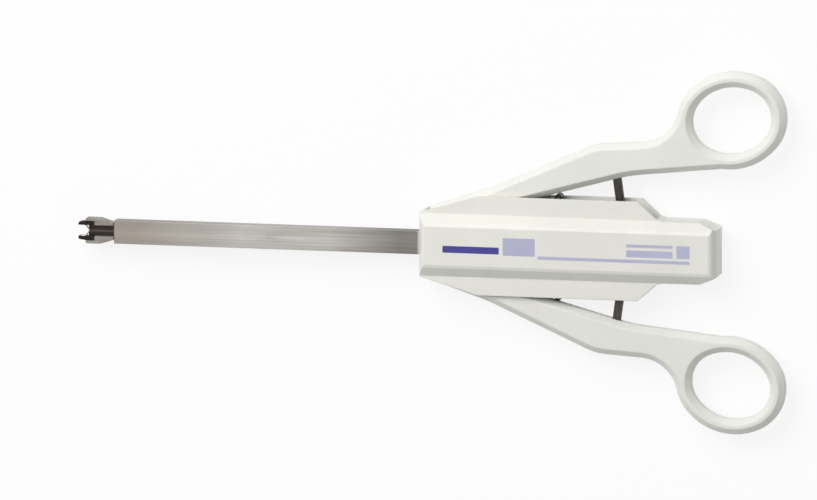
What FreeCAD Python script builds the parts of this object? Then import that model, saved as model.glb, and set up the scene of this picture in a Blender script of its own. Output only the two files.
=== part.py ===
import FreeCAD, Part
import math
import os
import re

import Sketcher

# Ligating clip applier, lying flat. X runs from the jaws to the finger rings, Y across the two
# handles, Z up through the label side. All lengths in millimetres, all angles in degrees.

V = FreeCAD.Vector
UP = V(0, 0, 1)

SIZES = {
    # Housing, seen from above
    "front_x": -3.8,
    "face_front_x": -2.0,
    "wing_front_x": 20.0,
    "wing_rear_x": 86.0,
    "wing_end_x": 93.5,
    "wing_ease": 3.0,
    "wing_ease_rise": 0.8,
    "face_rear_x": 116.4,
    "rear_x": 118.4,
    "rear_half": 9.5,
    "corner_length": 7.0,
    "nose_half": 13.2,
    "panel_nose_half": 12.8,
    "wing_half": 20.2,
    "body_half": 12.6,
    "face_half": 8.5,
    # Housing, through its thickness
    "mid_z": 9.0,
    "half_height": 9.0,
    "wing_half_height": 5.6,
    "wall": 1.5,
    "front_wall": 1.9,
    "slot_half_height": 4.2,
    "crest_bevel": 0.7,
    "cut_over": 3.0,
    # Housing, inside
    "post_back": 6.0,
    "post_size": 4.0,
    "post_y": 5.0,
    "boss_wall": 1.1,
    "rib_front_x": 26.5,
    "rib_middle_x": 63.0,
    "rib_rear_x": 96.0,
    "rib_thick": 1.0,
    "rib_gap": 0.6,
    "bore_skin": 0.6,
    # Clearances
    "slide_gap": 0.1,
    "fit_gap": 0.02,
    "pin_gap": 0.05,
    # Shaft shroud
    "tip_x": -130.8,
    "shroud_half": 4.7,
    "shroud_half_height": 2.8,
    "shroud_wall": 0.4,
    "shroud_rear_x": 10.0,
    "shroud_tab": 1.6,
    "tab_length": 1.4,
    "tab_half_height": 1.5,
    "lip_length": 11.7,
    "lip_half": 3.6,
    # Drive: what one full squeeze does
    "close_angle": 8.0,
    "drive_travel": 6.0,
    "feed_travel": 7.0,
    "jaw_angle": 2.8,
    # Handles
    "pivot_x": 3.0,
    "pivot_y": 11.5,
    "pivot_r": 2.0,
    "eye_r": 4.3,
    "handle_thick": 7.4,
    "rim_bevel": 2.3,
    "ring_x": 123.58,
    "ring_y": 54.0,
    "ring_hole_long": 32.7,
    "ring_hole_short": 27.0,
    "ring_band": 6.2,
    "ring_tilt": 14.0,
    "ring_end_r": 12.0,
    "ring_foot_x": 126.6,
    "ring_foot_y": 35.0,
    "arm_start_rise": 18.5,
    "arm_bend_x": 24.0,
    "arm_bend_r": 60.0,
    "shoulder_x": 68.0,
    "shoulder_y": 42.7,
    "shoulder_r": 22.0,
    "waist_x": 104.0,
    "waist_y": 45.0,
    "waist_r": 16.0,
    "knee_x": 82.0,
    "knee_y": 30.3,
    "knee_r": 60.0,
    "arm_inner_rise": 15.4,
    # Drive rods and cam pins
    "rod_outer_x": 75.7,
    "rod_outer_y": 34.5,
    "cam_x": 78.5,
    "cam_y": 13.8,
    "cam_r": 1.4,
    "rod_width": 3.2,
    "rod_thick": 2.4,
    # Cam yoke
    "yoke_front_x": 66.0,
    "yoke_rear_x": 99.0,
    "yoke_front_half": 9.0,
    "yoke_rear_half": 7.0,
    "yoke_taper": 4.0,
    "yoke_plate": 1.1,
    "yoke_inner_half": 1.9,
    "yoke_rim": 1.4,
    "web_length": 3.0,
    "web_width": 6.0,
    "web_inset": 0.5,
    "neck_half": 4.0,
    "neck_front_x": 17.0,
    "lug_length": 6.0,
    "lug_thick": 0.8,
    "tooth_pitch": 1.5,
    "tooth_height": 0.8,
    "tooth_count": 8,
    "rack_x": 44.0,
    # Feed bar and its cam plate
    "feed_plate": 0.6,
    "feed_rise": 3.3,
    "feed_front_half": 3.4,
    "feed_neck_half": 7.0,
    "feed_strap_half": 2.0,
    "feed_bar_half": 1.2,
    "feed_bar_thick": 0.4,
    "feed_bar_lift": 0.45,
    "feed_step_back": 8.0,
    "feed_step_length": 0.8,
    "finger_half": 0.42,
    "finger_length": 0.7,
    # Closing channel
    "channel_wall": 0.4,
    "channel_rear_x": 26.0,
    "channel_nose": 0.2,
    # Jaws and their root
    "jaw_reach": 26.8,
    "head_length": 15.2,
    "head_start": 0.7,
    "jaw_inner": 2.3,
    "jaw_thick": 1.3,
    "jaw_arm": 1.2,
    "jaw_rise": 1.3,
    "cam_gap": 0.16,
    "prong_width": 1.65,
    "prong_length": 3.0,
    "prong_point": 0.4,
    "groove_depth": 0.55,
    "groove_gap": 0.12,
    "root_length": 14.0,
    "rivet_front": 5.0,
    "rivet_rear": 11.0,
    "rivet_r": 0.9,
    # Clips, track and follower
    "clip_drop": 0.25,
    "wire": 0.6,
    "clip_length": 4.3,
    "clip_pitch": 5.6,
    "clip_count": 19,
    "clip_seat": 4.3,
    "clip_leg_in": 0.4,
    "clip_gap": 0.15,
    "track_drop": 0.7,
    "track_half": 3.3,
    "track_height": 1.45,
    "track_wall": 0.3,
    "track_nose": 0.4,
    "track_rear_x": 44.0,
    "track_foot_half": 8.4,
    "track_foot_length": 4.0,
    "track_foot_inset": 1.0,
    "track_post_y": 7.0,
    "track_post_r": 1.4,
    "shoe_length": 4.0,
    "shoe_height": 0.9,
    "spring_thick": 0.5,
    "spring_rise": 0.9,
    "spring_turns": 26,
    # Leaf return springs
    "leaf_root_x": 14.5,
    "leaf_root_y": 8.0,
    "leaf_end_x": 52.6,
    "leaf_end_y": 20.3,
    "leaf_height": 5.0,
    "leaf_thick": 0.7,
    "leaf_roll_r": 1.5,
    "leaf_heel_r": 0.9,
    # Anti-backup pawl
    "pawl_x": 55.0,
    "pawl_y": 8.8,
    "pawl_reach": 8.0,
    "pawl_tail": 2.2,
    "pawl_half": 1.6,
    "pawl_lift": 0.4,
    "pawl_pin_r": 0.75,
    "pawl_thick": 1.3,
    "coil_r": 1.6,
    "coil_height": 1.6,
    "coil_wire": 0.4,
    "coil_leg": 6.5,
    "coil_tail": 4.5,
}

doc = FreeCAD.newDocument("clip_applier")
sheet = doc.addObject("Spreadsheet::Sheet", "size")
for row, (alias, value) in enumerate(SIZES.items(), start=1):
    sheet.set(f"A{row}", alias)
    sheet.set(f"B{row}", str(value))
    sheet.setAlias(f"B{row}", alias)
doc.recompute()


def ref(text):
    """An expression on the sheet, written with the bare names of its cells."""
    return re.sub(r"[a-z_][a-z_0-9]*",
                  lambda m: "size." + m.group() if m.group() in SIZES else m.group(), str(text))


def val(text):
    return float(sheet.evalExpression(ref(text)))


def bind(obj, **properties):
    for name, text in properties.items():
        obj.setExpression(name.replace("__", "."), ref(text))
    return obj


def box(name, x, y, z):
    """Part box between pairs of sheet expressions."""
    obj = doc.addObject("Part::Box", name)
    for length, axis, (low, high) in zip(("Length", "Width", "Height"), "xyz", (x, y, z)):
        obj.setExpression(length, ref(f"({high}) - ({low})"))
        obj.setExpression(f"Placement.Base.{axis}", ref(low))
    return obj


def pin(name, x, y, r, z):
    """Upright cylinder between two heights."""
    obj = doc.addObject("Part::Cylinder", name)
    bind(obj, Radius=r, Height=f"({z[1]}) - ({z[0]})",
         Placement__Base__x=x, Placement__Base__y=y, Placement__Base__z=z[0])
    return obj


def fuse(name, pieces):
    obj = doc.addObject("Part::MultiFuse", name)
    obj.Shapes = pieces
    return obj


def cut(name, base, tool):
    obj = doc.addObject("Part::Cut", name)
    obj.Base = base
    obj.Tool = tool
    return obj


def free(name, shape):
    """A shape computed from the sheet in code."""
    obj = doc.addObject("Part::Feature", name)
    obj.Shape = shape
    return obj


def new_body(name):
    return doc.addObject("PartDesign::Body", name)


def sketch(body, name, loops, z, circles=()):
    """Closed straight-sided loops and circles on the body's own ground plane, raised to z.
    Every corner, centre and radius is dimensioned from the sheet."""
    sk = body.newObject("Sketcher::SketchObject", name)
    plane = next(f for f in body.Origin.OriginFeatures if f.Role == "XY_Plane")
    sk.AttachmentSupport = [(plane, "")]
    sk.MapMode = "FlatFace"
    sk.setExpression("AttachmentOffset.Base.z", ref(z))
    for loop in loops:
        first = len(sk.Geometry)
        count = len(loop)
        spots = [V(val(x), val(y), 0) for x, y in loop]
        for i in range(count):
            sk.addGeometry(Part.LineSegment(spots[i], spots[(i + 1) % count]))
        for i in range(count):
            sk.addConstraint(Sketcher.Constraint("Coincident", first + i, 2, first + (i + 1) % count, 1))
        for i in range(count):
            place(sk, first + i, 1, loop[i], spots[i])
    for x, y, r in circles:
        centre = V(val(x), val(y), 0)
        index = sk.addGeometry(Part.Circle(centre, UP, val(r)))
        place(sk, index, 3, (x, y), centre)
        radius = sk.addConstraint(Sketcher.Constraint("Radius", index, val(r)))
        sk.setExpression(f"Constraints[{radius}]", ref(r))
    return sk


def place(sk, index, point, texts, spot):
    for kind, text, value in zip(("DistanceX", "DistanceY"), texts, (spot.x, spot.y)):
        made = sk.addConstraint(Sketcher.Constraint(kind, -1, 1, index, point, value))
        sk.setExpression(f"Constraints[{made}]", ref(text))


def pad(body, name, loops, z, height, circles=()):
    feature = body.newObject("PartDesign::Pad", name)
    feature.Profile = sketch(body, name + "_outline", loops, z, circles)
    feature.setExpression("Length", ref(height))
    doc.recompute()
    return feature


def pocket(body, name, loops, z, depth, circles=()):
    """Removes the loops from z upward by depth."""
    feature = body.newObject("PartDesign::Pocket", name)
    feature.Profile = sketch(body, name + "_outline", loops, z, circles)
    feature.Reversed = True
    feature.setExpression("Length", ref(depth))
    doc.recompute()
    return feature


def rect(x0, x1, y0, y1):
    return [(x0, y0), (x1, y0), (x1, y1), (x0, y1)]


def mirrored(points):
    """Closes an outline given on its upper side with the same points on the lower side."""
    return points + [(x, f"-({y})") for x, y in reversed(points)]


def edges_where(shape, test):
    return [f"Edge{i + 1}" for i, edge in enumerate(shape.Edges) if test(edge)]


NODES = {}


def node(label, obj):
    obj.Label = label
    NODES[label] = obj
    return obj


# Housing: two shells that meet at mid height. Each has a six-sided plate with a raised bevelled
# panel. The plates stand apart at their edges, so that the handles swing in between them.

def housing_shell(label, side):
    """side is 1 for the label shell and -1 for the back shell."""
    body = new_body(label + "_body")
    low = "mid_z" if side > 0 else "mid_z - wing_half_height"
    plate = mirrored([("front_x", "nose_half"), ("wing_front_x", "wing_half"), ("wing_rear_x", "wing_half"),
                      ("wing_end_x", "body_half + wing_ease_rise"), ("wing_end_x + wing_ease", "body_half"),
                      ("rear_x", "body_half")])
    pad(body, label + "_plate", [plate], low, "wing_half_height")
    foot = mirrored([("front_x", "panel_nose_half"), ("rear_x", "body_half")])
    face = mirrored([("face_front_x", "face_half"), ("face_rear_x", "face_half")])
    panel = body.newObject("PartDesign::AdditiveLoft", label + "_panel")
    panel.Profile = sketch(body, label + "_panel_foot", [foot], f"mid_z + {side} * wing_half_height")
    panel.Sections = [sketch(body, label + "_panel_face", [face], f"mid_z + {side} * half_height")]
    panel.Ruled = True
    doc.recompute()
    face_z = val(f"mid_z + {side} * half_height")
    crest = edges_where(panel.Shape, lambda e: all(abs(v.Z - face_z) < 1e-6 for v in e.Vertexes))
    easing = body.newObject("PartDesign::Chamfer", label + "_panel_ease")
    easing.Base = (panel, crest)
    easing.setExpression("Size", ref("crest_bevel"))
    doc.recompute()
    corners = [[("rear_x - corner_length", f"{hand} * body_half"),
                ("rear_x", f"{hand} * rear_half"),
                ("rear_x + cut_over", f"{hand} * rear_half"),
                ("rear_x + cut_over", f"{hand} * (body_half + cut_over)"),
                ("rear_x - corner_length", f"{hand} * (body_half + cut_over)")]
               for hand in (1, -1)]
    corner_low = "mid_z" if side > 0 else "mid_z - half_height - cut_over"
    pocket(body, label + "_rear_corners", corners, corner_low, "half_height + cut_over")
    slot_low = "mid_z" if side > 0 else "mid_z - slot_half_height"
    swing = mirrored([("front_x + front_wall", "nose_half + cut_over"),
                      ("wing_front_x", "wing_half + cut_over"),
                      ("wing_end_x", "wing_half + cut_over"), ("wing_end_x", "body_half - wall"),
                      ("rear_x - corner_length - wall", "body_half - wall")])
    pocket(body, label + "_swing_room", [swing], slot_low, "slot_half_height")
    deep_low = "mid_z + slot_half_height" if side > 0 else "mid_z - half_height + wall"
    deep = rect("front_x + front_wall", "face_rear_x - wall", "wall - face_half", "face_half - wall")
    pocket(body, label + "_deep_room", [deep], deep_low, "half_height - slot_half_height - wall")
    bore_low = "mid_z" if side > 0 else "mid_z - shroud_half_height - fit_gap"
    shaft_way = rect("front_x - cut_over", "front_x + front_wall + wall",
                     "-shroud_half - fit_gap", "shroud_half + fit_gap")
    pocket(body, label + "_shaft_way", [shaft_way], bore_low, "shroud_half_height + fit_gap")
    return body


housing_top = housing_shell("housing_top", 1)
housing_bottom = housing_shell("housing_bottom", -1)


def span(side, near, far):
    """Heights between two distances from the mid plane, on one side of it."""
    return sorted((f"mid_z + {side} * ({near})", f"mid_z + {side} * ({far})"), key=val)


TRACK_POST_X = "(track_rear_x - track_foot_inset - track_foot_length / 2)"


def post(name, x, y, half, z):
    """Square post about an upright axis."""
    return box(name, (f"{x} - ({half})", f"{x} + ({half})"), (f"{y} - ({half})", f"{y} + ({half})"), z)


def shell_insides(label, side):
    """Posts, bosses and cross ribs that stand inside one shell."""
    deep = "half_height - wall"
    slot = "slot_half_height"
    track_gap = "track_drop + fit_gap" if side < 0 else "2 * track_wall - track_drop + fit_gap"
    pieces = []
    for hand, word in ((1, "upper"), (-1, "lower")):
        pieces.append(post(f"{label}_{word}_rear_post", "face_rear_x - post_back", f"{hand} * post_y",
                           "post_size / 2", span(side, "0", deep)))
        pieces.append(pin(f"{label}_{word}_track_post", TRACK_POST_X, f"{hand} * track_post_y",
                          "track_post_r", span(side, track_gap, deep)))
        pieces.append(post(f"{label}_{word}_spring_boss", "leaf_root_x", f"{hand} * leaf_root_y",
                           "leaf_heel_r + boss_wall", span(side, f"{slot} - 2 * slide_gap", deep)))
    for word in ("front", "middle", "rear"):
        pieces.append(box(f"{label}_{word}_rib",
                          (f"rib_{word}_x - rib_thick / 2", f"rib_{word}_x + rib_thick / 2"),
                          ("wall - face_half", "face_half - wall"), span(side, f"{slot} + rib_gap", deep)))
    if side < 0:
        pieces.append(post(label + "_pawl_boss", "pawl_x", "-pawl_y", "pawl_pin_r + boss_wall",
                           span(side, "yoke_inner_half + yoke_plate + 2 * slide_gap", deep)))
    return pieces


def finish_shell(label, body, side):
    joined = fuse(label + "_joined", [body] + shell_insides(label, side))
    bores = []
    for hand, word in ((1, "upper"), (-1, "lower")):
        bores.append(pin(f"{label}_{word}_pivot_bore", "pivot_x", f"{hand} * pivot_y", "pivot_r + fit_gap",
                         span(side, "0", "wing_half_height - bore_skin")))
        bores.append(pin(f"{label}_{word}_spring_bore", "leaf_root_x", f"{hand} * leaf_root_y",
                         "leaf_heel_r + pin_gap", span(side, "0", "wing_half_height - bore_skin")))
    if side < 0:
        bores.append(pin(label + "_pawl_bore", "pawl_x", "-pawl_y", "pawl_pin_r + fit_gap",
                         span(side, "0", "wing_half_height - bore_skin")))
    return node(label, cut(label + "_bored", joined, fuse(label + "_bores", bores)))


finish_shell("housing_top", housing_top, 1)
finish_shell("housing_bottom", housing_bottom, -1)

# Pivot pins: two alike, seated in the blind bores of both shells.
PIN_SPAN = ("mid_z - wing_half_height + bore_skin + slide_gap",
            "mid_z + wing_half_height - bore_skin - slide_gap")
node("pivot_pins", fuse("pivot_pins_pair", [
    pin(f"pivot_pin_{hand}", "pivot_x", f"{sign} * pivot_y", "pivot_r",
        PIN_SPAN)
    for hand, sign in (("upper", 1), ("lower", -1))]))

# Shaft shroud: flat tube with a lip under the jaws and two tabs behind the housing's front wall.
SHROUD_FLOOR = ("mid_z - shroud_half_height", "mid_z - shroud_half_height + shroud_wall")
shroud_outer = box("shroud_outer", ("tip_x", "shroud_rear_x"), ("-shroud_half", "shroud_half"),
                   ("mid_z - shroud_half_height", "mid_z + shroud_half_height"))
shroud_lip = box("shroud_lip", ("tip_x - lip_length", "tip_x"), ("-lip_half", "lip_half"), SHROUD_FLOOR)
TAB_X = "(front_x + front_wall + slide_gap)"
shroud_tabs = box("shroud_tabs", (TAB_X, f"{TAB_X} + tab_length"),
                  ("-shroud_half - shroud_tab", "shroud_half + shroud_tab"),
                  ("mid_z - tab_half_height", "mid_z + tab_half_height"))
shroud_inner = box("shroud_inner", ("tip_x - cut_over", "shroud_rear_x + cut_over"),
                   ("shroud_wall - shroud_half", "shroud_half - shroud_wall"),
                   (SHROUD_FLOOR[1], "mid_z + shroud_half_height - shroud_wall"))
JAW_ROOT = "(tip_x + jaw_reach)"
RIVET_SPOTS = {"front": f"{JAW_ROOT} + rivet_front", "rear": f"{JAW_ROOT} + rivet_rear"}
rivet_holes = [pin(f"shroud_{word}_rivet_hole", x, "0", "rivet_r + fit_gap",
                   ("mid_z - shroud_half_height - cut_over", "mid_z"))
               for word, x in RIVET_SPOTS.items()]
node("shroud", cut("shroud_tube", fuse("shroud_blank", [shroud_outer, shroud_lip, shroud_tabs]),
                   fuse("shroud_voids", [shroud_inner] + rivet_holes)))

# Closing channel: three-sided, open below, slides inside the shroud with the cam yoke.
CHANNEL_OUT = "(shroud_half - shroud_wall - slide_gap)"
CHANNEL_IN = f"({CHANNEL_OUT} - channel_wall)"
CHANNEL_TOP = "(mid_z + shroud_half_height - shroud_wall - slide_gap)"
CHANNEL_LOW = "(mid_z - shroud_half_height + shroud_wall + slide_gap)"
channel_outer = box("channel_outer", ("tip_x - channel_nose", "channel_rear_x"),
                    (f"-{CHANNEL_OUT}", CHANNEL_OUT), (CHANNEL_LOW, CHANNEL_TOP))
channel_inner = box("channel_inner", ("tip_x - cut_over", "channel_rear_x + cut_over"),
                    (f"-{CHANNEL_IN}", CHANNEL_IN),
                    (f"{CHANNEL_LOW} - cut_over", f"{CHANNEL_TOP} - channel_wall"))
node("closing_channel", cut("closing_channel_cut", channel_outer, channel_inner))


# Jaws: flat spring arms that end in tall heads. Each head has a cam shoulder outside and a pointed
# prong with a groove for one leg of the clip inside. At full travel the mouth of the channel stands
# at the end of the shoulder's ramp, with the jaw swung in by jaw_angle.
JAW_LOW = "(mid_z - shroud_half_height + shroud_wall + 2 * slide_gap)"
JAW_TIP = "(tip_x - head_length)"
JAW_MID = "(jaw_inner + jaw_arm / 2)"
MOUTH_CLOSED = "(tip_x - channel_nose - drive_travel)"
SHOULDER = f"({CHANNEL_IN} - cam_gap + (jaw_reach + channel_nose + drive_travel) * sin(jaw_angle))"


def jaw(label, hand):
    arm_out = "jaw_inner + jaw_arm"
    head_x = "tip_x - head_start"
    flat = [(JAW_ROOT, "jaw_inner"), (JAW_ROOT, arm_out), (head_x, arm_out), (head_x, "jaw_inner")]
    head = [(head_x, "jaw_inner"), (head_x, arm_out), (MOUTH_CLOSED, SHOULDER),
            (f"{JAW_TIP} + prong_length + prong_point", SHOULDER),
            (f"{JAW_TIP} + prong_length", f"{SHOULDER} - prong_point"),
            (f"{JAW_TIP} + prong_length", "jaw_inner + prong_width"),
            (f"{JAW_TIP} + prong_point", "jaw_inner + prong_width - prong_point"),
            (JAW_TIP, "jaw_inner + prong_width / 2"), (JAW_TIP, "jaw_inner")]
    body = new_body(label + "_body")
    pad(body, label + "_arm", [[(x, f"{hand} * ({y})") for x, y in flat]], JAW_LOW, "jaw_thick")
    pad(body, label + "_head", [[(x, f"{hand} * ({y})") for x, y in head]], JAW_LOW,
        f"(mid_z + jaw_rise) - {JAW_LOW}")
    groove = rect(f"{JAW_TIP} - cut_over", "tip_x", f"{hand} * (jaw_inner - groove_depth)",
                  f"{hand} * (jaw_inner + groove_depth)")
    pocket(body, label + "_groove", [groove], "mid_z - clip_drop - groove_gap", "wire + 2 * groove_gap")
    hinge = pin(label + "_knuckle", JAW_ROOT, f"{hand} * {JAW_MID}", "jaw_arm / 2",
                (JAW_LOW, f"{JAW_LOW} + jaw_thick"))
    node(label, fuse(label + "_whole", [body, hinge]))


jaw("jaw_upper", 1)
jaw("jaw_lower", -1)

# Jaw root: plate with a round seat for each arm, riveted to the floor of the shroud.
root_plate = new_body("jaw_root_body")
seats = [(JAW_ROOT, f"{hand} * {JAW_MID}", "jaw_arm / 2 + pin_gap") for hand in (1, -1)]
root_out = "jaw_inner + jaw_arm + slide_gap"
pad(root_plate, "jaw_root_plate",
    [mirrored([(f"{JAW_ROOT} - prong_point", "jaw_inner - groove_depth"),
               (f"{JAW_ROOT} - slide_gap", root_out),
               (f"{JAW_ROOT} + root_length", root_out)])], JAW_LOW, "jaw_thick")
pocket(root_plate, "jaw_root_seats", [], f"{JAW_LOW} - cut_over", "jaw_thick + 2 * cut_over", seats)
pocket(root_plate, "jaw_root_holes", [], f"{JAW_LOW} - cut_over", "jaw_thick + 2 * cut_over",
       [(x, "0", "rivet_r + fit_gap") for x in RIVET_SPOTS.values()])
node("jaw_root", root_plate)
node("jaw_rivets", fuse("jaw_rivets_pair", [
    pin(f"jaw_{word}_rivet", x, "0", "rivet_r", (SHROUD_FLOOR[0], f"{JAW_LOW} + jaw_thick"))
    for word, x in RIVET_SPOTS.items()]))

# Clip track: floor with two side rails and a cross foot that the posts of both shells hold.
TRACK_LOW = "(mid_z - track_drop)"
TRACK_IN = "(track_half - track_wall)"
FOOT_FRONT = "(track_rear_x - track_foot_inset - track_foot_length)"
track_out = box("track_out", ("tip_x - track_nose", "track_rear_x"), ("-track_half", "track_half"),
                (TRACK_LOW, f"{TRACK_LOW} + track_height"))
track_in = box("track_in", ("tip_x - cut_over", "track_rear_x + cut_over"), (f"-{TRACK_IN}", TRACK_IN),
               (f"{TRACK_LOW} + track_wall", f"{TRACK_LOW} + track_height + cut_over"))
track_foot = box("track_foot", (FOOT_FRONT, f"{FOOT_FRONT} + track_foot_length"),
                 ("-track_foot_half", "track_foot_half"), (TRACK_LOW, f"{TRACK_LOW} + 2 * track_wall"))
node("clip_track", fuse("clip_track_whole", [cut("clip_track_cut", track_out, track_in), track_foot]))


# Clips: bent wire with two legs that meet in a shallow crown. Legs point to the jaws.

CLIP_LOW = "(mid_z - clip_drop)"
LOADED = f"({JAW_TIP} + clip_seat)"
FIRST_CROWN = "(tip_x - track_nose + clip_length + clip_pitch)"
CLIP_HALF = f"({TRACK_IN} - clip_gap)"


def clip_shape(crown_x, half):
    length = val("clip_length")
    wire = val("wire")
    knee_x = crown_x - 0.3 * length
    path = [(crown_x + wire, 0), (knee_x, half), (crown_x - length, half), (crown_x - length, half - wire),
            (knee_x - wire / 4, half - wire), (crown_x - wire / 3, 0)]
    points = path + [(x, -y) for x, y in reversed(path[1:-1])]
    return slab(points, val(CLIP_LOW), val(CLIP_LOW) + wire)


def slab(points, low, high):
    """Upright slab over a closed run of points, between two heights."""
    outline = Part.makePolygon([V(x, y, low) for x, y in points + points[:1]])
    return Part.Face(outline).extrude(V(0, 0, high - low))


node("loaded_clip", free("loaded_clip_wire", clip_shape(val(LOADED), val("jaw_inner + clip_leg_in"))))
stack = [clip_shape(val(f"{FIRST_CROWN} + {i} * clip_pitch"), val(CLIP_HALF))
         for i in range(int(val("clip_count")))]
node("clip_stack", free("clip_stack_wires", Part.makeCompound(stack)))

# Follower: shoe that presses the stack forward, and its spring.
SHOE = f"({FIRST_CROWN} + clip_count * clip_pitch - clip_length + wire)"
SHOE_REAR = f"({SHOE} + shoe_length)"
node("clip_follower", box("clip_follower_shoe", (SHOE, SHOE_REAR), (f"-{CLIP_HALF}", CLIP_HALF),
                          (CLIP_LOW, f"{CLIP_LOW} + shoe_height")))


def zigzag(start, end, half, low, thick, turns, rise):
    """Flat zigzag spring lying in the track."""
    step = (end - start) / turns
    under = [(start + step * i, half - rise if i % 2 else -half) for i in range(turns + 1)]
    over = [(x, y + rise) for x, y in under]
    return slab(under + over[::-1], low, low + thick)


node("follower_spring", free("follower_spring_wire", zigzag(
    val(f"{SHOE_REAR} + 2 * slide_gap"), val(f"{FOOT_FRONT} - slide_gap"), val(CLIP_HALF), val(CLIP_LOW),
    val("spring_thick"), int(val("spring_turns")), val("spring_rise"))))


# Handles: a tapering arm with an eye at the pivot and an oval finger ring, one smooth outline.

def oval(long_half, short_half, end_r):
    """Flat face bounded by four tangent arcs, lying along X at the origin."""
    end_x = long_half - end_r
    side_r = (end_x ** 2 + short_half ** 2 - end_r ** 2) / (2 * (short_half - end_r))
    way = V(end_x, side_r - short_half, 0).normalize()
    meet = V(end_x, 0, 0) + way * end_r
    corners = [V(meet.x, -meet.y, 0), V(meet.x, meet.y, 0), V(-meet.x, meet.y, 0), V(-meet.x, -meet.y, 0)]
    middles = [V(long_half, 0, 0), V(0, short_half, 0), V(-long_half, 0, 0), V(0, -short_half, 0)]
    arcs = [Part.Arc(corners[i], middles[i], corners[(i + 1) % 4]).toShape() for i in range(4)]
    return Part.Face(Part.Wire(arcs))


def at_ring(face):
    face.rotate(V(), UP, val("ring_tilt"))
    face.translate(V(val("ring_x"), val("ring_y"), 0))
    return face


def rod_frame(hand):
    outer = V(val("rod_outer_x"), hand * val("rod_outer_y"), val("mid_z"))
    inner = V(val("cam_x"), hand * val("cam_y"), val("mid_z"))
    return outer, inner


def rod_solid(hand, gap):
    """Flat rod with rounded ends from its seat in the handle to the cam pin."""
    outer, inner = rod_frame(hand)
    way = (inner - outer).normalize()
    across = V(-way.y, way.x, 0)
    half = val("rod_width") / 2 + gap
    thick = val("rod_thick") + 2 * gap
    low = V(0, 0, -thick / 2)
    corners = [outer + across * half, inner + across * half, inner - across * half, outer - across * half]
    bar = Part.Face(Part.makePolygon([p + low for p in corners + corners[:1]])).extrude(V(0, 0, thick))
    ends = [Part.makeCylinder(half, thick, p + low) for p in (outer, inner)]
    return bar.fuse(ends).removeSplitter()


def across_mirror(shape):
    """The same shape on the lower side."""
    return shape.mirror(V(0, 0, 0), V(0, 1, 0))


def blended(corners):
    """Flat face through corners given as (point, radius), each blended by an arc of its radius."""
    edges = []
    stops = []
    for i, (point, radius) in enumerate(corners):
        if not radius:
            stops.append((point, point))
            continue
        back = (corners[i - 1][0] - point).normalize()
        ahead = (corners[(i + 1) % len(corners)][0] - point).normalize()
        half_turn = (math.pi - back.getAngle(ahead)) / 2
        reach = radius * math.tan(half_turn)
        middle = point + (back + ahead).normalize() * (radius / math.cos(half_turn) - radius)
        stops.append((point + back * reach, point + ahead * reach))
        edges.append(Part.Arc(stops[i][0], middle, stops[i][1]).toShape())
    for i, (begin, end) in enumerate(stops):
        edges.append(Part.makeLine(stops[i - 1][1], begin))
    return Part.Face(Part.Wire(Part.__sortEdges__(edges)))


def upright_by(solid, spot):
    """The upright edge of a solid that stands nearest to a spot."""
    return min((e for e in solid.Edges if e.BoundBox.ZLength > 1),
               key=lambda e: math.hypot(e.Vertexes[0].X - spot.x, e.Vertexes[0].Y - spot.y))


def level_edges(solid):
    """Edges that lie in a level plane: the rims of an upright slab."""
    return [e for e in solid.Edges if e.BoundBox.ZLength < 1e-3]


def handle_shape():
    """Eye, tapering arm and finger ring in one slab, its corners blended and its rims rounded."""
    thick = val("handle_thick")
    band, hole_long, hole_short = val("ring_band"), val("ring_hole_long / 2"), val("ring_hole_short / 2")
    hole_end = val("ring_end_r")
    ring = at_ring(oval(hole_long + band, hole_short + band, hole_end + band))
    hole = at_ring(oval(hole_long, hole_short, hole_end))
    px, py, eye = val("pivot_x"), val("pivot_y"), val("eye_r")
    eye_disc = Part.Face(Part.Wire(Part.Circle(V(px, py, 0), UP, eye).toShape()))
    rise, fall = math.radians(val("arm_start_rise")), math.radians(val("arm_inner_rise"))
    start = V(px - eye * math.sin(rise), py + eye * math.cos(rise), 0)
    bend = start + V(1, math.tan(rise), 0) * (val("arm_bend_x") - start.x)
    shoulder = V(val("shoulder_x"), val("shoulder_y"), 0)
    waist = V(val("waist_x"), val("waist_y"), 0)
    ring_mid = V(val("ring_x"), val("ring_y"), 0)
    ring_low = V(val("ring_foot_x"), val("ring_foot_y"), 0)
    knee = V(val("knee_x"), val("knee_y"), 0)
    heel = V(px, knee.y - (knee.x - px) * math.tan(fall), 0)
    corners = [(start, 0), (bend, val("arm_bend_r")), (shoulder, val("shoulder_r")), (waist, 0),
               (ring_mid, 0), (ring_low, 0), (knee, val("knee_r")), (heel, 0)]
    height = V(0, 0, thick)
    arm = blended(corners).extrude(height)
    body = ring.extrude(height).fuse([arm, eye_disc.extrude(height)]).removeSplitter()
    body = body.makeFillet(val("waist_r"), [upright_by(body, waist)])
    body = body.cut(hole.extrude(height))
    shape = body.makeChamfer(val("rim_bevel"), level_edges(body))
    base_z = val("mid_z") - thick / 2
    shape.translate(V(0, 0, base_z))
    over = val("cut_over")
    bore = Part.makeCylinder(val("pivot_r + pin_gap"), thick + 2 * over, V(px, py, base_z - over))
    return shape.cut([bore, rod_solid(1, val("fit_gap"))])


upper_moulding = handle_shape()
node("handle_upper", free("handle_upper_moulding", upper_moulding))
node("handle_lower", free("handle_lower_moulding", across_mirror(upper_moulding)))


# Drive rods and cam pins: each rod is seated in its handle and carries a cam pin at its inner end.

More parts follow.
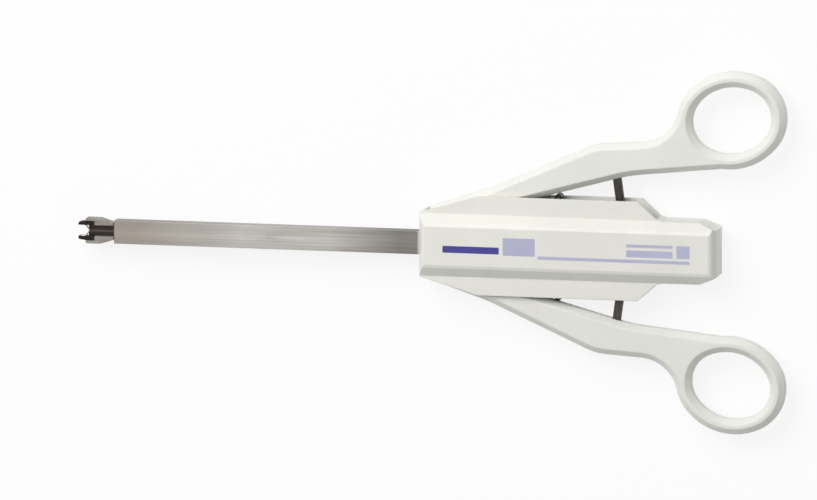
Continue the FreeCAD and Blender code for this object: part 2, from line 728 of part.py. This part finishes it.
def drive_rod(tag, hand):
    deep = val("rod_thick + 2 * cut_over")
    foot = V(val("cam_x"), hand * val("cam_y"), val("mid_z") - deep / 2)
    hole = Part.makeCylinder(val("cam_r + fit_gap"), deep, foot)
    node("drive_rod_" + tag, free("drive_rod_bar_" + tag, rod_solid(hand, 0).cut(hole)))
    node("cam_pin_" + tag, pin("cam_pin_" + tag + "_stud", "cam_x", f"{hand} * cam_y", "cam_r",
                               ("mid_z - yoke_inner_half - yoke_plate + slide_gap",
                                "mid_z + feed_rise + feed_plate - slide_gap")))


drive_rod("upper", 1)
drive_rod("lower", -1)


# Cam yoke and feed plate: the cam pins swing with the handles. Each slot is the path of a pin as
# seen from the sliding plate, so that plate and pin stay in step at every angle.

def pin_spot(hand, share):
    """Place of a cam pin after the given share of a full squeeze."""
    angle = -math.radians(val("close_angle")) * share
    dx, dy = val("cam_x - pivot_x"), val("cam_y - pivot_y")
    x = val("pivot_x") + dx * math.cos(angle) - dy * math.sin(angle)
    y = val("pivot_y") + dx * math.sin(angle) + dy * math.cos(angle)
    return x, hand * y


def cam_slot(hand, travel, low, high):
    """Slot swept by a pin in a plate that moves by travel (positive towards the jaws)."""
    r = val("cam_r + pin_gap")
    steps = 4
    path = []
    for i in range(steps + 1):
        x, y = pin_spot(hand, i / steps)
        path.append(V(x + travel * i / steps, y, low))
    pieces = [Part.makeCylinder(r, high - low, p) for p in (path[0], path[-1])]
    for a, b in zip(path, path[1:]):
        way = (b - a).normalize()
        side = V(-way.y, way.x, 0) * r
        quad = Part.makePolygon([a + side, b + side, b - side, a - side, a + side])
        pieces.append(Part.Face(quad).extrude(V(0, 0, high - low)))
        pieces.append(Part.makeCylinder(r, high - low, b))
    return pieces[0].fuse(pieces[1:])


def slotted(plate, travel, low, high):
    over = val("cut_over")
    return plate.cut([cam_slot(hand, travel, low - over, high + over) for hand in (1, -1)])


def both_sides(points):
    """The points of an upper side, closed by the same points on the lower side."""
    return points + [(x, -y) for x, y in reversed(points)]


def strip(x0, x1, half, low, high):
    """Upright block across the middle line."""
    return Part.makeBox(x1 - x0, 2 * half, high - low, V(x0, -half, low))


def yoke():
    rim = val("cam_r + yoke_rim")
    wide = val("cam_y") + rim
    front, rear = val("yoke_front_x"), val("yoke_rear_x")
    cam_x, taper = val("cam_x"), val("yoke_taper")
    plan = both_sides([(front, val("yoke_front_half")), (cam_x - 2 * rim, wide), (cam_x + rim, wide),
                       (rear - taper, val("yoke_front_half")), (rear, val("yoke_rear_half"))])
    mid, inner, thick = val("mid_z"), val("yoke_inner_half"), val("yoke_plate")
    floor = mid - inner - thick
    plates = slab(plan, floor, mid - inner).fuse(slab(plan, mid + inner, mid + inner + thick))
    plates = slotted(plates, val("drive_travel"), floor, mid + inner + thick)
    inset, web_long, web_wide = val("web_inset"), val("web_length"), val("web_width")
    webs = [Part.makeBox(web_long, web_wide, 2 * inner + thick, V(x, y, mid - inner - thick / 2))
            for x in (front + inset, rear - inset - web_long) for y in (-inset - web_wide, inset)]
    half = val("neck_half")
    neck_top = val(CHANNEL_LOW) - val("pin_gap")
    neck = strip(val("neck_front_x"), front + taper, half, floor, neck_top)
    lug_thick = val("lug_thick")
    lug_x = val("channel_rear_x - lug_length - web_inset")
    lug_top = val(f"{TRACK_LOW} - 2 * slide_gap")
    lug_out = val(CHANNEL_IN) - val("pin_gap")
    lugs = [Part.makeBox(val("lug_length"), lug_thick, lug_top - floor, V(lug_x, y, floor))
            for y in (lug_out - lug_thick, -lug_out)]
    pitch, height, root = val("tooth_pitch"), val("tooth_height"), val("slide_gap") - half
    rack = []
    for i in range(int(val("tooth_count"))):
        x = val("rack_x") + pitch * i
        rack.append(slab([(x, root), (x, -half - height), (x + 0.9 * pitch, root)], floor, neck_top))
    return plates.fuse(webs + [neck] + lugs + rack).removeSplitter()


node("cam_yoke", free("cam_yoke_slide", yoke()))


def feed_bar():
    low = val("mid_z + feed_rise")
    high = low + val("feed_plate")
    rim = val("cam_r + yoke_rim")
    wide = val("cam_y") + rim
    cam_x = val("cam_x")
    front = cam_x - val("feed_travel") - 2 * rim
    neck_half = val("feed_neck_half")
    plan = both_sides([(front, val("feed_front_half")), (front + rim / 3, neck_half),
                       (cam_x - 1.4 * rim, wide), (cam_x + rim, wide), (cam_x + rim, neck_half)])
    plate = slotted(slab(plan, low, high), -val("feed_travel"), low, high)
    bar_low = val(f"{CLIP_LOW} + wire + feed_bar_lift")
    bar_high = bar_low + val("feed_bar_thick")
    step = val("channel_rear_x + feed_step_back")
    nose_rear = val("tip_x - 3 * slide_gap")
    tip = val(f"{LOADED} + wire + clip_gap")
    strap_half, bar_half, half = val("feed_strap_half"), val("feed_bar_half"), val("finger_half")
    pieces = [strip(step, front + rim, strap_half, low, high),
              strip(step, step + val("feed_step_length"), strap_half, bar_low, high),
              strip(nose_rear, step + val("feed_step_length"), bar_half, bar_low, bar_high),
              strip(tip, nose_rear, half, bar_low, bar_high),
              strip(tip, tip + val("finger_length"), half, val(CLIP_LOW), bar_high)]
    return plate.fuse(pieces).removeSplitter()


node("feed_bar", free("feed_bar_strip", feed_bar()))


# Leaf return springs: steel strip along the inner edge of each handle with a rolled free end.

def leaf(tag, hand):
    root = V(val("leaf_root_x"), val("leaf_root_y"), 0)
    end = V(val("leaf_end_x"), val("leaf_end_y"), 0)
    height = val("leaf_height")
    low = V(0, 0, val("mid_z") - height / 2)
    way = (end - root).normalize()
    across = V(-way.y, way.x, 0) * val("leaf_thick / 2")
    strip = [root + across, end + across, end - across, root - across]
    shape = Part.Face(Part.makePolygon([p + low for p in strip + strip[:1]])).extrude(V(0, 0, height))
    roll_r = val("leaf_roll_r")
    eye = Part.makeCylinder(roll_r - val("leaf_thick"), height, end + low)
    heel_low, heel_high = val(PIN_SPAN[0]), val(PIN_SPAN[1])
    heel = Part.makeCylinder(val("leaf_heel_r"), heel_high - heel_low, root + V(0, 0, heel_low))
    shape = shape.fuse([Part.makeCylinder(roll_r, height, end + low), heel]).cut(eye)
    if hand < 0:
        shape = across_mirror(shape)
    node("return_spring_" + tag, free("return_spring_strip_" + tag, shape))


leaf("upper", 1)
leaf("lower", -1)

# Anti-backup pawl: small lever on a pin beside the rack teeth of the yoke, with its spring.
PAWL_LOW = "(mid_z - yoke_inner_half - yoke_plate + slide_gap)"
NOSE_Y = "(-neck_half - tooth_height - pawl_lift)"
pawl_body = new_body("pawl_body")
pad(pawl_body, "pawl_lever",
    [[("pawl_x - pawl_reach", NOSE_Y), ("pawl_x - 0.85 * pawl_reach", f"{NOSE_Y} - pawl_half / 2"),
      ("pawl_x + pawl_tail / 2", "-pawl_y + pawl_half"), ("pawl_x + pawl_tail", "-pawl_y - pawl_half / 2"),
      ("pawl_x - pawl_tail / 2", "-pawl_y - pawl_half"),
      ("pawl_x - 0.94 * pawl_reach", f"{NOSE_Y} - pawl_half")]],
    PAWL_LOW, "pawl_thick")
pocket(pawl_body, "pawl_bore", [], f"{PAWL_LOW} - cut_over", "pawl_thick + 2 * cut_over",
       [("pawl_x", "-pawl_y", "pawl_pin_r + pin_gap")])
node("pawl", pawl_body)
node("pawl_pin", pin("pawl_pin_stud", "pawl_x", "-pawl_y", "pawl_pin_r",
                     (PIN_SPAN[0], "mid_z + coil_wire")))


def pawl_spring():
    """Coil round the pawl pin, with a leg along the lever and a tail to the housing wall."""
    height, wire, radius = val("coil_height"), val("coil_wire"), val("coil_r")
    centre = V(val("pawl_x"), -val("pawl_y"), val(f"{PAWL_LOW} + pawl_thick + 3 * slide_gap"))
    coil = Part.makeCylinder(radius, height, centre)
    coil = coil.cut(Part.makeCylinder(val("pawl_pin_r + 2 * slide_gap"), height, centre))
    leg = Part.makeBox(val("coil_leg"), wire, wire, centre + V(-val("coil_leg"), radius - wire, 0))
    tail_foot = centre + V(radius - wire, -val("coil_tail"), height - wire)
    tail = Part.makeBox(wire, val("coil_tail"), wire, tail_foot)
    return coil.fuse([leg, tail])


node("pawl_spring", free("pawl_spring_wire", pawl_spring()))

doc.recompute()

for item in doc.Objects:
    if "Invalid" in item.State or "Error" in item.State:
        raise RuntimeError(f"{item.Name} didn't recompute: {item.State}")
os.makedirs("parts", exist_ok=True)
for label, item in NODES.items():
    shape = item.Shape
    if shape.isNull() or not shape.isValid():
        raise RuntimeError(f"{label} has no valid shape")
    shape.exportStep(f"parts/{label}.step")
    print(label, len(shape.Solids), round(shape.Volume, 1), shape.optimalBoundingBox())
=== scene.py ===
# Looks of a ring-handled ligating clip applier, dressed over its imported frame.
# Metres, in the frame of the part: X from the jaws to the finger rings, Y from the lower to the upper handle,
# Z up through the label side.
import math

import bmesh
import bpy
from mathutils import Matrix, Vector


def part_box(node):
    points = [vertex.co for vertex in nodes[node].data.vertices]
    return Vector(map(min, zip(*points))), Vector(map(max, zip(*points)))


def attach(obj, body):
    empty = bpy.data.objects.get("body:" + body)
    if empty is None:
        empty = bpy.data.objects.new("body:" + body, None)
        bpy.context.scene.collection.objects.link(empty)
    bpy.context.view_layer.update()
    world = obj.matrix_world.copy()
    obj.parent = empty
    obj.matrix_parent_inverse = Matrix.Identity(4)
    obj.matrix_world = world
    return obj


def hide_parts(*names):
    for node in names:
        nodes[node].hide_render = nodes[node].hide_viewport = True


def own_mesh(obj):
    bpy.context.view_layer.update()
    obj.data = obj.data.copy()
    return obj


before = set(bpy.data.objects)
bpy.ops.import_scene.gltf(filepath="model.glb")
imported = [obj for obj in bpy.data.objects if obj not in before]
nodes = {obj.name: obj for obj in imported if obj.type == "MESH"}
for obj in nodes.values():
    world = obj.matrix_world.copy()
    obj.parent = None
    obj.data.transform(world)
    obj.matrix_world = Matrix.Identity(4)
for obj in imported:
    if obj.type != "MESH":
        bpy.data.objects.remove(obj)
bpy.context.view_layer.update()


# Materials: helpers first, then one line for each finish.

class Mat:
    """A Principled material with a few shorthands for procedural detail in object space."""

    def __init__(self, name, color, rough, metallic=0.0, **sockets):
        self.mat = bpy.data.materials.new(name)
        self.mat.use_nodes = True
        self.tree = self.mat.node_tree
        self.bsdf = self.tree.nodes["Principled BSDF"]
        self.bsdf.inputs["Base Color"].default_value = (*color, 1)
        self.bsdf.inputs["Roughness"].default_value = rough
        self.bsdf.inputs["Metallic"].default_value = metallic
        for key, value in sockets.items():
            self.bsdf.inputs[key.replace("_", " ")].default_value = value
        self.coords = self.add("ShaderNodeTexCoord").outputs["Object"]
        self.normal = None

    def add(self, kind, **settings):
        made = self.tree.nodes.new(kind)
        for key, value in settings.items():
            setattr(made, key, value)
        return made

    def link(self, a, b):
        self.tree.links.new(a, b)

    def stretched(self, scale):
        mapping = self.add("ShaderNodeMapping")
        mapping.inputs["Scale"].default_value = scale
        self.link(self.coords, mapping.inputs["Vector"])
        return mapping.outputs["Vector"]

    def noise(self, size, stretch=(1, 1, 1), detail=4.0, rough=0.55):
        """Noise whose features are about size metres across."""
        tex = self.add("ShaderNodeTexNoise")
        tex.inputs["Scale"].default_value = 1 / size
        tex.inputs["Detail"].default_value = detail
        tex.inputs["Roughness"].default_value = rough
        self.link(self.stretched(stretch), tex.inputs["Vector"])
        return tex.outputs["Fac"]

    def ramp(self, fac, low, high, a, b):
        """fac from low to high turned into a value from a to b."""
        node = self.add("ShaderNodeMapRange", clamp=True)
        for key, value in (("From Min", low), ("From Max", high), ("To Min", a), ("To Max", b)):
            node.inputs[key].default_value = value
        self.link(fac, node.inputs["Value"])
        return node.outputs["Result"]

    def math(self, op, a, b):
        node = self.add("ShaderNodeMath", operation=op)
        for i, value in enumerate((a, b)):
            if isinstance(value, (int, float)):
                node.inputs[i].default_value = value
            else:
                self.link(value, node.inputs[i])
        return node.outputs[0]

    def tones(self, fac, a, b):
        """Base colour between two tones."""
        mix = self.add("ShaderNodeMix", data_type="RGBA")
        mix.inputs["A"].default_value = (*a, 1)
        mix.inputs["B"].default_value = (*b, 1)
        self.link(fac, mix.inputs["Factor"])
        self.link(mix.outputs["Result"], self.bsdf.inputs["Base Color"])
        return mix

    def over(self, mix, fac, tone):
        """Another tone laid over the colour where fac is 1."""
        top = self.add("ShaderNodeMix", data_type="RGBA")
        top.inputs["B"].default_value = (*tone, 1)
        self.link(mix.outputs["Result"], top.inputs["A"])
        self.link(fac, top.inputs["Factor"])
        self.link(top.outputs["Result"], self.bsdf.inputs["Base Color"])
        return top

    def rough(self, fac):
        self.link(fac, self.bsdf.inputs["Roughness"])

    def soft_edges(self, radius):
        """Edges catch light as if they were rounded by radius."""
        bevel = self.add("ShaderNodeBevel", samples=6)
        bevel.inputs["Radius"].default_value = radius
        self.normal = bevel.outputs["Normal"]
        self.link(self.normal, self.bsdf.inputs["Normal"])

    def bump(self, height, distance, strength=1.0):
        node = self.add("ShaderNodeBump")
        node.inputs["Strength"].default_value = strength
        node.inputs["Distance"].default_value = distance
        self.link(height, node.inputs["Height"])
        if self.normal:
            self.link(self.normal, node.inputs["Normal"])
        self.normal = node.outputs["Normal"]
        self.link(self.normal, self.bsdf.inputs["Normal"])

    def axis(self, name):
        parts = self.add("ShaderNodeSeparateXYZ")
        self.link(self.coords, parts.inputs["Vector"])
        return parts.outputs[name]


GRAIN_DEPTH = 0.00004
SCRATCH_DEPTH = 0.00002
BRUSH_DEPTH = 0.000025


def plastic(name, bright, dim, rough, edge, grain=0.00035):
    """Satin moulding: faint cloudy tone, spark-eroded grain, handling marks and eased edges."""
    m = Mat(name, bright, rough, IOR=1.5)
    cloud = m.noise(0.03, detail=3)
    base = m.tones(m.ramp(cloud, 0.35, 0.7, 0, 1), bright, dim)
    rub = m.noise(0.012, stretch=(0.35, 1, 1), detail=6, rough=0.65)
    m.over(base, m.ramp(rub, 0.58, 0.8, 0, 0.3), tuple(c * 0.88 for c in dim))
    m.rough(m.ramp(m.noise(0.006, detail=5), 0.3, 0.75, rough - 0.07, rough + 0.1))
    if edge:
        m.soft_edges(edge)
    m.bump(m.noise(grain, detail=2), GRAIN_DEPTH, 0.35)
    scratch = m.noise(0.0012, stretch=(0.06, 1, 1), detail=2)
    m.bump(m.ramp(scratch, 0.68, 0.74, 0, 1), SCRATCH_DEPTH, 0.25)
    return m


def steel(name, bright, dim, rough, grain=(0.02, 1, 1), edge=0.0002, anisotropic=0.0):
    """Brushed steel: long streaks, cloudy tarnish and rubbed places."""
    m = Mat(name, bright, rough, metallic=1.0)
    m.bsdf.inputs["Anisotropic"].default_value = anisotropic
    streak = m.noise(0.0009, stretch=grain, detail=5, rough=0.6)
    cloud = m.noise(0.014, stretch=(0.5, 1, 1), detail=4)
    both = m.math("ADD", m.math("MULTIPLY", streak, 0.6), m.math("MULTIPLY", cloud, 0.4))
    base = m.tones(m.ramp(both, 0.36, 0.64, 0, 1), dim, bright)
    spots = m.noise(0.0025, detail=6, rough=0.7)
    m.over(base, m.ramp(spots, 0.62, 0.76, 0, 0.3), tuple(c * 0.6 for c in dim))
    m.rough(m.ramp(streak, 0.25, 0.75, rough - 0.08, rough + 0.14))
    if edge:
        m.soft_edges(edge)
    m.bump(streak, BRUSH_DEPTH, 0.5)
    return m


def fade(m, span, tone, most, half=None):
    """Painted light or shade laid over the last colour along X, from none at span[0] to most at span[1].

    With half it stays within that distance of the middle line."""
    mix = m.bsdf.inputs["Base Color"].links[0].from_node
    fac = m.ramp(m.axis("X"), *span, 0, most)
    if half:
        aside = m.math("ABSOLUTE", m.axis("Y"), 0)
        fac = m.math("MULTIPLY", fac, m.ramp(aside, half, half + PAINTED_SHADE_EDGE, 1, 0))
    m.over(mix, fac, tone)


# Where painted light and shade on the steel change along X, in metres.
FRONT_REFLECTION_TONE = (-0.078, -0.122)
REAR_PAINTED_SHADE = (-0.041, -0.013)
END_PAINTED_HIGHLIGHT = (-0.0055, -0.0045)
MOUTH_PAINTED_SHADE = (-0.1306, -0.1310)
PRONG_PAINTED_SHADE = (-0.1390, -0.1396)
PRONG_SHADE_HALF = 0.0039
PAINTED_SHADE_EDGE = 0.0003


shell = plastic("shell_plastic", (0.81, 0.81, 0.745), (0.765, 0.76, 0.70), 0.42, 0.0005)
grip = plastic("grip_plastic", (0.81, 0.81, 0.755), (0.77, 0.77, 0.71), 0.40, 0.0009)
shaft = steel("shaft_steel", (0.435, 0.415, 0.388), (0.325, 0.31, 0.287), 0.40, anisotropic=0.3)
# Painted reflection tone: the shaft warmer and darker towards the jaws.
fade(shaft, FRONT_REFLECTION_TONE, (0.235, 0.208, 0.18), 0.85)
# Painted shade: the shaft darker towards the housing, in place of its reflection.
fade(shaft, REAR_PAINTED_SHADE, (0.125, 0.114, 0.104), 0.82)
# Painted highlight: a lighter band at the shaft's end by the housing.
fade(shaft, END_PAINTED_HIGHLIGHT, (0.50, 0.46, 0.44), 0.9)
# Painted shade: the shroud's mouth between the jaw arms made nearly black.
fade(shaft, MOUTH_PAINTED_SHADE, (0.040, 0.034, 0.026), 0.96)
lip = steel("inner_steel", (0.30, 0.285, 0.265), (0.22, 0.205, 0.19), 0.42)
jaw_metal = steel("jaw_steel", (0.31, 0.29, 0.265), (0.19, 0.172, 0.155), 0.38, grain=(0.1, 1, 1))
# Painted shade: the prongs made nearly black where they lie in shade.
fade(jaw_metal, PRONG_PAINTED_SHADE, (0.012, 0.010, 0.009), 0.96, half=PRONG_SHADE_HALF)
rod_metal = steel("rod_steel", (0.075, 0.068, 0.062), (0.035, 0.031, 0.028), 0.45, grain=(1, 0.1, 1))
leaf_metal = steel("leaf_steel", (0.045, 0.042, 0.038), (0.018, 0.016, 0.014), 0.36, grain=(0.05, 0.3, 1))
slide_metal = steel("slide_steel", (0.50, 0.49, 0.47), (0.36, 0.35, 0.335), 0.34)
# Painted shade: the slide made nearly black inside the shroud's mouth.
fade(slide_metal, MOUTH_PAINTED_SHADE, (0.055, 0.046, 0.036), 0.96)
wire_metal = steel("clip_wire", (0.44, 0.43, 0.42), (0.30, 0.29, 0.285), 0.34, grain=(0.3, 0.3, 1), edge=0)
spring_metal = steel("spring_wire", (0.34, 0.33, 0.32), (0.2, 0.195, 0.19), 0.3, edge=0.0001)
shoe = plastic("follower_plastic", (0.16, 0.26, 0.46), (0.12, 0.2, 0.38), 0.45, 0.0002)
ink = plastic("printed_ink", (0.035, 0.03, 0.22), (0.05, 0.045, 0.28), 0.5, 0)
ink_pale = plastic("printed_ink_pale", (0.42, 0.42, 0.58), (0.48, 0.48, 0.64), 0.5, 0)

wears = {
    shell: ["housing_top", "housing_bottom"],
    grip: ["handle_upper", "handle_lower"],
    shaft: ["shroud"],
    lip: ["jaw_root", "jaw_rivets", "clip_track", "closing_channel"],
    jaw_metal: ["jaw_upper", "jaw_lower"],
    rod_metal: ["drive_rod_upper", "drive_rod_lower", "cam_pin_upper", "cam_pin_lower"],
    leaf_metal: ["return_spring_upper", "return_spring_lower"],
    slide_metal: ["cam_yoke", "feed_bar", "pivot_pins", "pawl", "pawl_pin"],
    wire_metal: ["clip_stack", "loaded_clip"],
    spring_metal: ["pawl_spring", "follower_spring"],
    shoe: ["clip_follower"],
}
for finish, names in wears.items():
    for name in names:
        data = nodes[name].data
        data.materials.clear()
        data.materials.append(finish.mat)


# Pieces built here.

def add_piece(name, bm, finish, body):
    mesh = bpy.data.meshes.new(name)
    bmesh.ops.recalc_face_normals(bm, faces=bm.faces)
    bm.to_mesh(mesh)
    bm.free()
    mesh.materials.append(finish.mat)
    obj = bpy.data.objects.new(name, mesh)
    bpy.context.scene.collection.objects.link(obj)
    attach(obj, body)
    return obj


def tube(bm, path, radius, sides=12):
    """Round wire along a path of points, with closed ends and mitred bends."""
    least_cosine = 0.5
    rings = []
    for i, point in enumerate(path):
        before = path[max(i - 1, 0)]
        after = path[min(i + 1, len(path) - 1)]
        way = (after - before).normalized()
        side = way.cross(Vector((0, 0, 1))).normalized()
        top = side.cross(way)
        turn = 1.0
        if 0 < i < len(path) - 1:
            turn = 1 / max(least_cosine, math.cos((point - before).angle(after - point) / 2))
        rings.append([bm.verts.new(point + side * (radius * turn * math.cos(a)) + top * (radius * math.sin(a)))
                      for a in (2 * math.pi * k / sides for k in range(sides))])
    for a, b in zip(rings, rings[1:]):
        for k in range(sides):
            bm.faces.new((a[k], a[(k + 1) % sides], b[(k + 1) % sides], b[k]))
    bm.faces.new(rings[0][::-1])
    bm.faces.new(rings[-1])


def eased(points, radius, steps=5):
    """The path with each inner corner turned in a short arc, which takes at most a share of each side."""
    share = 0.45
    out = [points[0]]
    for before, point, after in zip(points, points[1:], points[2:]):
        a = point + (before - point).normalized() * min(radius, (before - point).length * share)
        b = point + (after - point).normalized() * min(radius, (after - point).length * share)
        for k in range(steps + 1):
            s = k / steps
            out.append(a * (1 - s) ** 2 + point * (2 * s * (1 - s)) + b * s ** 2)
    return out + [points[-1]]


# The waiting clip between the prongs: one bent wire, its crown towards the shaft.
CLIP_WIRE_R = 0.0003
CLIP_BEND_R = 0.0009
KNEE_SHARE = 0.42
low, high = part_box("loaded_clip")
mid_z = (low[2] + high[2]) / 2
crown, tips = high[0] - CLIP_WIRE_R, low[0]
half = high[1] - CLIP_WIRE_R
knee = crown - KNEE_SHARE * (crown - tips)
legs = [Vector((tips, half, mid_z)), Vector((knee, half, mid_z)), Vector((crown, 0, mid_z)),
        Vector((knee, -half, mid_z)), Vector((tips, -half, mid_z))]
bm = bmesh.new()
tube(bm, eased(legs, CLIP_BEND_R), CLIP_WIRE_R)
clip = add_piece("waiting_clip", bm, wire_metal, "housing")
for face in clip.data.polygons:
    face.use_smooth = True
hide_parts("loaded_clip")
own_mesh(clip)

# The follower's spring in the track: a wire bent to and fro.
BENDS = 26
BEND_R = 0.0006
SPRING_WIRE_R = 0.00024
REACH = 0.93
low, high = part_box("follower_spring")
path = [Vector((low[0] + (high[0] - low[0]) * i / BENDS, (REACH if i % 2 else -REACH) * high[1],
                (low[2] + high[2]) / 2))
        for i in range(BENDS + 1)]
bm = bmesh.new()
tube(bm, eased(path, BEND_R, 4), SPRING_WIRE_R, 8)
coil = add_piece("track_spring", bm, spring_metal, "housing")
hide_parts("follower_spring")
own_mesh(coil)

# Plain printed marks on the panel: bars without any words, each given by its edges x0, x1, y0, y1.
DARK_BAR = (0.0064, 0.0296, -0.0026, 0.0002)
PALE_BARS = (
    (0.0312, 0.0444, -0.0030, 0.0042),
    (0.0455, 0.1080, -0.0041, -0.0028),
    (0.0820, 0.1010, 0.0022, 0.0034),
    (0.0820, 0.1010, -0.0018, 0.0010),
    (0.1026, 0.1080, -0.0018, 0.0034),
)
INK_HEIGHT = 0.00003
INK_CORNER_R = 0.0003
panel_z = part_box("housing_top")[1][2]


def bar(bm, x0, x1, y0, y1):
    """A flat printed bar with eased corners, a hair above the panel."""
    r = min(INK_CORNER_R, (x1 - x0) * 0.4, (y1 - y0) * 0.4)
    rim = []
    for cx, cy, turn in ((x1 - r, y1 - r, 0), (x0 + r, y1 - r, 1), (x0 + r, y0 + r, 2), (x1 - r, y0 + r, 3)):
        for k in range(4):
            a = math.pi / 2 * (turn + k / 3)
            rim.append((cx + r * math.cos(a), cy + r * math.sin(a)))
    base = [bm.verts.new((x, y, panel_z)) for x, y in rim]
    top = [bm.verts.new((x, y, panel_z + INK_HEIGHT)) for x, y in rim]
    bm.faces.new(top)
    bm.faces.new(base[::-1])
    for k in range(len(rim)):
        j = (k + 1) % len(rim)
        bm.faces.new((base[k], base[j], top[j], top[k]))


bm = bmesh.new()
bar(bm, *DARK_BAR)
add_piece("printed_bar", bm, ink, "housing")
bm = bmesh.new()
for edges in PALE_BARS:
    bar(bm, *edges)
add_piece("printed_rules", bm, ink_pale, "housing")


# Camera: its turn, its scale and the pixel where the frame's origin lies are fitted to the photograph.
# A far camera with a long lens shows the part almost without perspective, as the photograph does.
AZ, EL, ROLL = math.radians(128.07), math.radians(74.94), math.radians(-127.02)
PIXELS_PER_M = 2473.2
WIDTH, HEIGHT = 817, 500
ORIGIN = (436.1, 238.7)
DISTANCE = 8.0
SENSOR_MM = 36
toward = Vector((math.sin(AZ) * math.cos(EL), -math.cos(AZ) * math.cos(EL), math.sin(EL)))
right = Vector((math.cos(AZ), math.sin(AZ), 0))
up = toward.cross(right)
across = right * math.cos(ROLL) + up * math.sin(ROLL)
upward = up * math.cos(ROLL) - right * math.sin(ROLL)
target = (across * ((WIDTH / 2 - ORIGIN[0]) / PIXELS_PER_M)
          + upward * ((ORIGIN[1] - HEIGHT / 2) / PIXELS_PER_M))
cam_data = bpy.data.cameras.new("camera")
cam_data.sensor_width = SENSOR_MM
cam_data.lens = SENSOR_MM * DISTANCE / (WIDTH / PIXELS_PER_M)
cam_data.clip_start, cam_data.clip_end = 0.02, 30
cam = bpy.data.objects.new("camera", cam_data)
bpy.context.scene.collection.objects.link(cam)
cam.matrix_world = Matrix.Translation(target + toward * DISTANCE) @ Matrix(
    [(across[i], upward[i], toward[i]) for i in range(3)]).to_4x4()
bpy.context.scene.camera = cam


# Stage: a pale floor under the part, one soft light, white behind.
FLOOR_HALF = 3.0
FLOOR_Z = -0.0003
FLOOR_GLOW = 0.85
KEY_PLACE = (-0.53, 0.98, 1.38)
KEY_SIZE, KEY_WATTS = 1.6, 28
WORLD_TONE, WORLD_STRENGTH = (0.93, 0.93, 0.95, 1), 0.37
floor_data = bpy.data.meshes.new("floor")
around = ((-1, -1), (1, -1), (1, 1), (-1, 1))
floor_data.from_pydata([(x * FLOOR_HALF, y * FLOOR_HALF, FLOOR_Z) for x, y in around], [], [(0, 1, 2, 3)])
floor = bpy.data.objects.new("floor", floor_data)
bpy.context.scene.collection.objects.link(floor)


def seen_directly(tree):
    """1 for rays from the camera and from mirrors and glass, 0 for the light that falls on the part."""
    paths = tree.nodes.new("ShaderNodeLightPath")
    total = paths.outputs["Is Camera Ray"]
    for name in ("Is Glossy Ray", "Is Transmission Ray"):
        either = tree.nodes.new("ShaderNodeMath")
        either.operation = "MAXIMUM"
        tree.links.new(total, either.inputs[0])
        tree.links.new(paths.outputs[name], either.inputs[1])
        total = either.outputs[0]
    return total


white = bpy.data.materials.new("floor_white")
white.use_nodes = True
tree = white.node_tree
plain = tree.nodes["Principled BSDF"]
plain.inputs["Base Color"].default_value = (0.93, 0.93, 0.925, 1)
plain.inputs["Roughness"].default_value = 0.85
glow = tree.nodes.new("ShaderNodeEmission")
glow.inputs["Color"].default_value = (1, 1, 1, 1)
share = tree.nodes.new("ShaderNodeMapRange")
share.inputs["To Max"].default_value = FLOOR_GLOW
tree.links.new(seen_directly(tree), share.inputs["Value"])
both = tree.nodes.new("ShaderNodeMixShader")
tree.links.new(share.outputs["Result"], both.inputs[0])
tree.links.new(plain.outputs["BSDF"], both.inputs[1])
tree.links.new(glow.outputs["Emission"], both.inputs[2])
tree.links.new(both.outputs["Shader"], tree.nodes["Material Output"].inputs["Surface"])
floor_data.materials.append(white)


key_data = bpy.data.lights.new("key_light", "AREA")
key_data.shape = "DISK"
key_data.size = KEY_SIZE
key_data.energy = KEY_WATTS
key = bpy.data.objects.new("key_light", key_data)
bpy.context.scene.collection.objects.link(key)
key.location = KEY_PLACE
key.rotation_mode = "QUATERNION"
key.rotation_quaternion = (-Vector(KEY_PLACE)).to_track_quat("-Z", "Y")

world = bpy.data.worlds.new("world")
bpy.context.scene.world = world
world.use_nodes = True
wt = world.node_tree
background = wt.nodes["Background"]
background.inputs["Color"].default_value = WORLD_TONE
background.inputs["Strength"].default_value = WORLD_STRENGTH
backdrop = wt.nodes.new("ShaderNodeBackground")
backdrop.inputs["Color"].default_value = (1, 1, 1, 1)
either = wt.nodes.new("ShaderNodeMixShader")
wt.links.new(seen_directly(wt), either.inputs[0])
wt.links.new(background.outputs["Background"], either.inputs[1])
wt.links.new(backdrop.outputs["Background"], either.inputs[2])
wt.links.new(either.outputs["Shader"], wt.nodes["World Output"].inputs["Surface"])

bpy.context.scene.view_settings.view_transform = "Standard"
